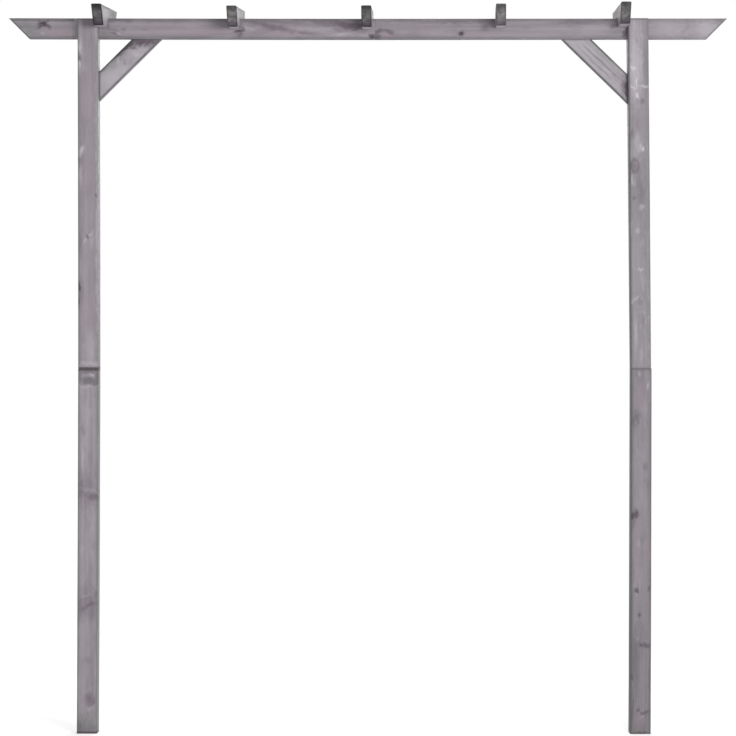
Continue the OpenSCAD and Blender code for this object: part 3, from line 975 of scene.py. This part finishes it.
def sawnTimber(name, piece):
    first, last = piece["ends"]
    size = piece["section"]
    soft = timber["soften"]
    stations = stationsOf(first, last)
    gap = np.minimum(stations - first, last - stations)
    inset = soft - np.sqrt(np.maximum(soft ** 2 - np.maximum(soft - gap, 0) ** 2, 0))
    flat = crossSections(size, edgeRadii(piece, stations), inset)
    points = np.zeros(flat.shape[:2] + (3,))
    points[:, :, 0] = stations[:, None]
    points[:, :, 1:] = flat
    own, faces = closedSkin(points, round(min(size) / 2 / timber["capStep"]))
    makeUneven(own, piece)

    # The leaning end cuts, then bow and lie
    toFirst = np.clip(1 - (own[:, 0] - first) / timber["leanReach"], 0, 1)
    toLast = np.clip(1 - (last - own[:, 0]) / timber["leanReach"], 0, 1)
    own[:, 0] += own[:, 1] * (piece["cuts"][0] * toFirst + piece["cuts"][1] * toLast)
    layAskew(own, piece, 1)

    basis = basisOf(piece)
    if np.linalg.det(basis) > 0:
        faces = [f[::-1] for f in faces]
    body = newMesh(name, (own @ basis + np.array(piece["origin"])) * mm, faces)
    cutAway(body, cuttersFor(name, piece))
    return body


dowel = dict(
    radius=6, half=50, chamfer=1, flutes=20, fluteDepth=0.3, rows=21, row=4.84, play=0.05, spare=1,
    left=[(-796, -14.5, 1020), (-770, -14.5, 1020)],
    right=[(744, -14.5, 1020), (770, -14.5, 1020)],
)


def bore(place):
    r, half = (dowel["radius"] + dowel["play"]) * mm, (dowel["half"] + dowel["spare"]) * mm
    hole = turned("bore", [(r, half), (r, -half)], fasteners["holeSides"])
    hole.data.transform(Matrix.Translation(Vector(place) * mm))
    return hole


def cuttersFor(name, piece):
    found = []
    if name.endswith("Post"):
        found += [bore(place) for place in dowel["left" if name.startswith("left") else "right"]]
    if "notch" in piece:
        middle = piece["origin"][0]
        found.append(block("notch", *[((middle + x) * mm, y * mm, z * mm) for x, y, z in piece["notch"]]))
    if not name.endswith("LowerPost"):
        found += screwHolesIn(piece)
    return found


def screwHolesIn(piece):  # holes for the screws that pass through a timber's box
    low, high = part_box(piece["node"])
    near = 0.5 * mm
    holes = []
    for node, kind, places in screwSets.values():
        for head, way in places:
            tip = [h + w * fasteners[kind]["long"] for h, w in zip(head, way)]
            spans = zip(head, tip, low, high)
            if all(min(h, t) * mm < b + near and max(h, t) * mm > a - near for h, t, a, b in spans):
                holes.append(screwHole(kind, head, way))
    return holes


def markGrain(body, piece):  # each point's own measures, in metres, which the pine reads
    at = np.empty(len(body.data.vertices) * 3, np.float32)
    body.data.vertices.foreach_get("co", at)
    own = (at.reshape(-1, 3) / mm - np.array(piece["origin"])) @ basisOf(piece).T
    layAskew(own, piece, -1)
    layer = body.data.attributes.new("grain", "FLOAT_VECTOR", "POINT")
    layer.data.foreach_set("vector", (own * mm).astype(np.float32).ravel())


for name, piece in timbers.items():
    body = sawnTimber(name, piece)
    markGrain(body, piece)
    settle(body, stainedPine(name + "Pine", piece), piece["node"], 32)
    print("timber: %s, %d faces" % (name, len(body.data.polygons)))

plate = zincPlate()
for name, (node, kind, places) in screwSets.items():
    body = stamped(name, screwModel(kind), [aim(*at) for at in places])
    settle(body, plate, node)
    print("screws: %s, %d faces" % (name, len(body.data.polygons)))


def fluted(radius, height, angle):
    if abs(height) > (dowel["half"] - dowel["chamfer"] - 0.5) * mm:
        return radius
    return radius - dowel["fluteDepth"] * mm * (0.5 - 0.5 * math.cos(angle * dowel["flutes"])) ** 2


def dowelModel():
    r, half, chamfer = dowel["radius"], dowel["half"], dowel["chamfer"]
    rings = [(r - chamfer, half), (r, half - chamfer), (r, half - 1.4)]
    rings += [(r, half - 1.6 - k * dowel["row"]) for k in range(dowel["rows"])]
    rings += [(r, 1.4 - half), (r, chamfer - half), (r - chamfer, -half)]
    return turned("dowel", [(a * mm, z * mm) for a, z in rings], dowel["flutes"] * 4, fluted)


wood = turnedBeech()
for side in ("left", "right"):
    places = [Matrix.Translation(Vector(place) * mm) for place in dowel[side]]
    body = stamped(side + "PostDowels", dowelModel(), places)
    settle(body, wood, side + "_post_dowels")
print("dowels: 4")


# White studio: a floor that keeps the arch's shadow, soft lamps and a white surround
studio = dict(
    floor=30,
    floorTone=0.8,
    floorLift=0.48,
    surround=0.42,
    near=1.0,  # the floor turns plain white between these distances
    far=2.6,
    lamps=dict(
        key=dict(place=(1.4, -4.4, 1.8), aim=(0, 0, 1.4), size=(1.5, 1.0), power=113),
        back=dict(place=(0.3, 4.2, 2.6), aim=(0, 0, 1.2), size=(2.5, 2.0), power=95),
    ),
)


def studioFloor():
    r = studio["floor"] / 2
    ground = newMesh("floor", [(-r, -r, 0), (r, -r, 0), (r, r, 0), (-r, r, 0)], [(0, 1, 2, 3)])
    finish = bpy.data.materials.new("floorPaper")
    finish.use_nodes = True
    tree = finish.node_tree
    tree.nodes.remove(tree.nodes["Principled BSDF"])
    wire = Wire(tree, None)
    tone = studio["floorTone"]
    paper = wire.node("ShaderNodeBsdfDiffuse", {}, {"Color": (tone, tone, tone, 1)})
    glow = wire.node("ShaderNodeEmission", {}, {"Strength": studio["floorLift"]})
    near = wire.node("ShaderNodeAddShader", {}, {0: paper, 1: glow})
    place = wire.node("ShaderNodeTexCoord", {}, {}, "Object")
    away = wire.vector("LENGTH", place, output=1).ease(studio["near"], studio["far"])
    white = wire.node("ShaderNodeEmission", {}, {"Strength": 1.0})
    seen = wire.node("ShaderNodeMixShader", {}, {0: away, 1: near, 2: white})
    surface = wire.node("ShaderNodeMixShader", {}, {0: whiteRays(wire), 1: paper, 2: seen})
    plug(surface, tree.nodes["Material Output"], "Surface")
    ground.data.materials.append(finish)


def whiteRays(wire):  # rays that see the surround rather than take light from it
    rays = wire.tree.nodes.new("ShaderNodeLightPath")
    seen = [rays.outputs["Is %s Ray" % kind] for kind in ("Transmission", "Glossy", "Camera")]
    return strongest(wire, [Wire(wire.tree, output) for output in seen])


def surround():
    world = bpy.data.worlds.new("surround")
    world.use_nodes = True
    bpy.context.scene.world = world
    tree = world.node_tree
    tree.nodes.remove(tree.nodes["Background"])
    wire = Wire(tree, None)
    soft = wire.node("ShaderNodeBackground", {}, {"Color": (1, 1, 1, 1), "Strength": studio["surround"]})
    white = wire.node("ShaderNodeBackground", {}, {"Color": (1, 1, 1, 1), "Strength": 1.0})
    surface = wire.node("ShaderNodeMixShader", {}, {0: whiteRays(wire), 1: soft, 2: white})
    plug(surface, tree.nodes["World Output"], "Surface")


def lamps():
    for name, lamp in studio["lamps"].items():
        light = bpy.data.lights.new(name, "AREA")
        light.shape = "RECTANGLE"
        light.size, light.size_y = lamp["size"]
        light.energy = lamp["power"]
        holder = bpy.data.objects.new(name, light)
        holder.location = lamp["place"]
        way = Vector(lamp["aim"]) - Vector(lamp["place"])
        holder.rotation_euler = way.to_track_quat("-Z", "Y").to_euler()
        bpy.context.scene.collection.objects.link(holder)


studioFloor()
surround()
lamps()
bpy.context.scene.view_settings.view_transform = "Standard"
print("studio: floor, surround, %d lamps" % len(studio["lamps"]))
